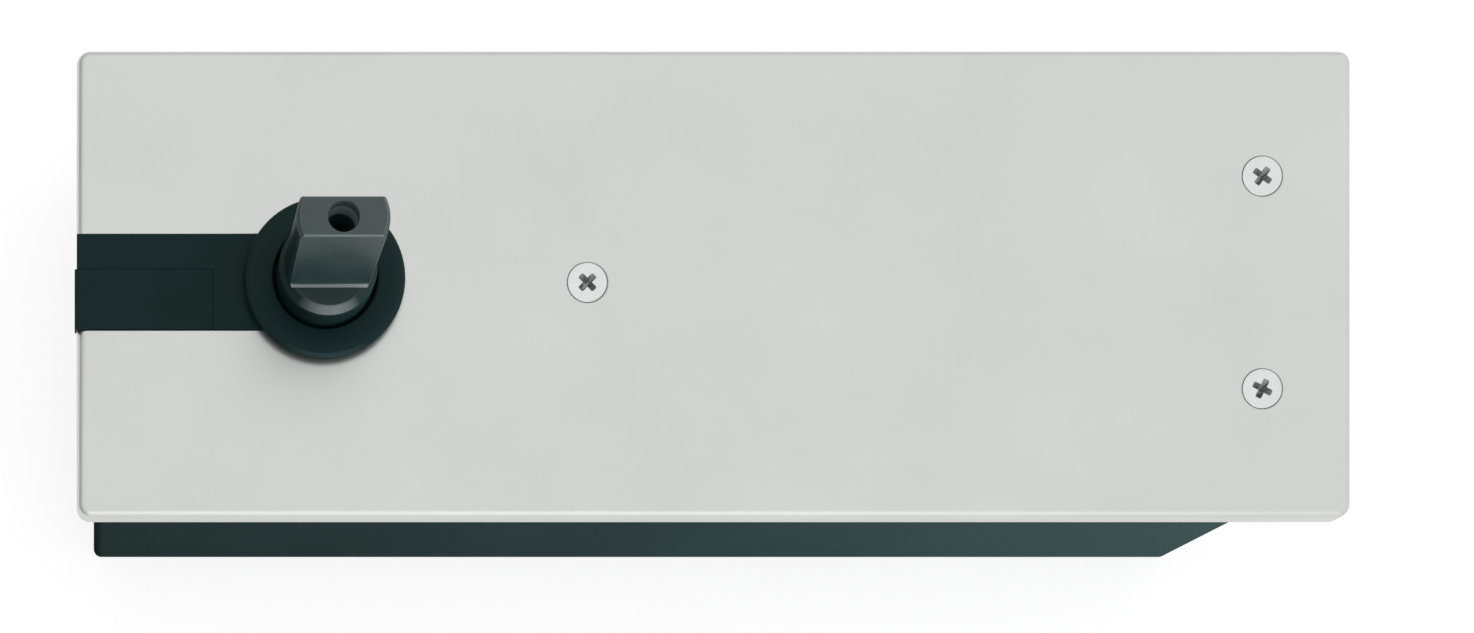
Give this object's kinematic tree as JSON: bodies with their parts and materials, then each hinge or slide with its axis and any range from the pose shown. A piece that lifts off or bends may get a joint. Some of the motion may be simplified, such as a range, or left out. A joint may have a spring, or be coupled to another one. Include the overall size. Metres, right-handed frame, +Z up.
{
  "type": "floor spring door closer",
  "caption": "Floor spring door closer: long steel cover over a sunken box, black slot insert and rosette, upright flattened spindle, hydraulic body inside.",
  "frame": {"origin": "centre of the object's footprint, on the underside of the floor box", "axes": "+X along the cover away from the spindle's end, +Y across it, +Z up through the spindle"},
  "size_m": [0.3006, 0.11, 0.0832],
  "materials": {
    "cover_steel": "satin, finely brushed stainless",
    "box_paint": "dark green-grey coated sheet",
    "cast_iron": "as-cast, painted grey",
    "lid_iron": "machined on top",
    "spindle_steel": "blackened, oiled",
    "cam_steel": "ground and hardened",
    "bearing_steel": "polished",
    "bronze": "machined bronze",
    "spring_steel": "oil-tempered wire",
    "zinc": "bright zinc",
    "black_screw": "black oxide",
    "seal_rubber": "matt",
    "gasket": "pressed fibre",
    "insert_plastic": "fine satin moulding"
  },
  "bodies": {
    "housing": {"floor_box": "box_paint", "cover_lugs": "box_paint", "floor_nuts": "zinc", "closer_body": "cast_iron", "body_lid": "lid_iron", "lid_gasket": "gasket", "lid_screws": "black_screw", "bearing_outer_ring": "bearing_steel", "bearing_balls": "bearing_steel", "lower_bush": "bronze", "shaft_seal": "seal_rubber", "closing_spring": "spring_steel", "spring_seat": "zinc", "end_plug": "zinc", "end_plug_seal": "seal_rubber", "valve_seals": "seal_rubber", "channel_plug": "black_screw", "filler_plug": "zinc", "filler_washer": "bronze", "levelling_screws": "black_screw", "clamp_bolts": "zinc", "clamp_washers": "zinc", "cover_plate": "cover_steel", "slot_insert": "insert_plastic", "end_tab": "insert_plastic", "cover_screws": "zinc"},
    "spindle": {"spindle": "spindle_steel", "heart_cam": "cam_steel", "cam_key": "zinc", "bearing_inner_ring": "bearing_steel", "thrust_washer": "bronze"},
    "piston": {"roller_carriage": "cam_steel", "roller_pin": "cam_steel", "carriage_screws": "black_screw", "piston": "cam_steel", "piston_ring": "seal_rubber", "check_seat": "bronze"},
    "roller": {"roller": "bearing_steel"},
    "check_ball": {"check_ball": "bearing_steel"},
    "closing_valve": {"closing_valve": "zinc"},
    "latching_valve": {"latching_valve": "zinc"}
  },
  "joints": [
    {"name": "spindle_turn", "type": "hinge", "parent": "housing", "child": "spindle", "pos_m": [-0.09175, 0, 0.022], "axis": [0, 0, 1], "range_deg": [0, 130], "stiffness_Nm_per_rad": 8},
    {"name": "piston_slide", "type": "slide", "parent": "housing", "child": "piston", "axis": [1, 0, 0], "range_m": [0, 0.0182], "deforming": ["closing_spring"]},
    {"name": "roller_spin", "type": "hinge", "parent": "piston", "child": "roller", "pos_m": [-0.06925, 0, 0.022], "axis": [0, 0, 1], "continuous": true},
    {"name": "check_ball_lift", "type": "slide", "parent": "piston", "child": "check_ball", "axis": [-1, 0, 0], "range_m": [0, 0.001]},
    {"name": "closing_valve_turn", "type": "hinge", "parent": "housing", "child": "closing_valve", "pos_m": [0.02025, 0.021, 0.04], "axis": [0, 0, 1], "range_deg": [-90, 270]},
    {"name": "latching_valve_turn", "type": "hinge", "parent": "housing", "child": "latching_valve", "pos_m": [-0.00775, 0.021, 0.04], "axis": [0, 0, 1], "range_deg": [-90, 270]}
  ],
  "couplings": [
    {"joint": "piston_slide", "follows": "spindle_turn", "m_per_rad": 0.008}
  ]
}
